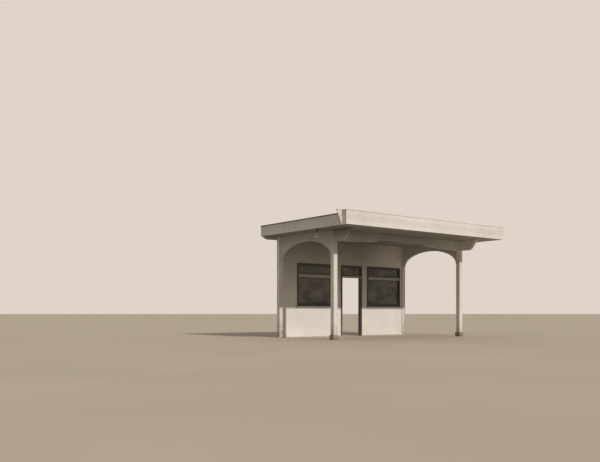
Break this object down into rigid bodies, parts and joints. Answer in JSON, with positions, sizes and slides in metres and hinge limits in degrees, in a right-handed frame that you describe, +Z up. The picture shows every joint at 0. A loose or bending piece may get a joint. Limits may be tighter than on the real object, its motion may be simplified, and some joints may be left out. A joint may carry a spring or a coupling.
{
  "type": "filling station canopy",
  "caption": "Timber filling station canopy with a sign board, two square posts, arched side valances and a close-boarded shop front with a doorway and windows",
  "frame": {"origin": "the middle of the underside of the whole, on the ground", "axes": "+Z up; the sign board faces -Y and the shop front closes the +Y side; X runs along the sign board"},
  "size_m": [7.554, 4.307, 3.735],
  "materials": {
    "concrete": "weathered and rough",
    "post_paint": "white oil paint, weathered",
    "beam_paint": "oil paint, weathered",
    "wall_boards": "pale oil paint on smooth close boards",
    "joinery_paint": "dark oil paint, weathered",
    "sill_paint": "white oil paint, weathered",
    "window_glass": "clear, dark behind",
    "soffit_boards": "oil paint, weathered",
    "bare_timber": "sawn, unpainted",
    "roof_iron": "corrugated, weathered",
    "fascia_paint": "white oil paint, weathered",
    "sign_paint": "white oil paint, weathered",
    "capping_paint": "dull dark paint",
    "gutter_metal": "dull paint, weathered",
    "lamp_metal": "dull dark paint",
    "lamp_enamel": "glossy enamel"
  },
  "bodies": {
    "root": {"plinth_left": "concrete", "plinth_right": "concrete", "post_left": "post_paint", "post_right": "post_paint", "corner_post_left": "post_paint", "corner_post_right": "post_paint", "front_beam": "beam_paint", "valance_left": "beam_paint", "valance_right": "beam_paint", "bracket_left": "beam_paint", "bracket_right": "beam_paint", "wall_left_pier": "wall_boards", "wall_middle_pier": "wall_boards", "wall_door_pier": "wall_boards", "wall_right_pier": "wall_boards", "wall_under_left_window": "wall_boards", "wall_under_right_window": "wall_boards", "wall_over_left_window": "wall_boards", "wall_over_right_window": "wall_boards", "wall_over_door": "wall_boards", "window_frame_left": "joinery_paint", "window_frame_right": "joinery_paint", "door_frame": "joinery_paint", "window_sill_left": "sill_paint", "window_sill_right": "sill_paint", "window_glass_left": "window_glass", "window_glass_right": "window_glass", "fanlight_glass": "window_glass", "soffit_lining": "soffit_boards", "rafters": "bare_timber", "roof_sheeting": "roof_iron", "fascia_left": "fascia_paint", "fascia_right": "fascia_paint", "fascia_rear": "fascia_paint", "sign_returns": "fascia_paint", "fascia_front": "sign_paint", "sign_board": "sign_paint", "capping_front": "sign_paint", "capping_sides": "capping_paint", "gutter": "gutter_metal", "downpipe": "gutter_metal", "pipe_clips": "gutter_metal", "lamp_stems": "lamp_metal", "lamp_shade_left": "lamp_enamel", "lamp_shade_right": "lamp_enamel"}
  },
  "joints": []
}
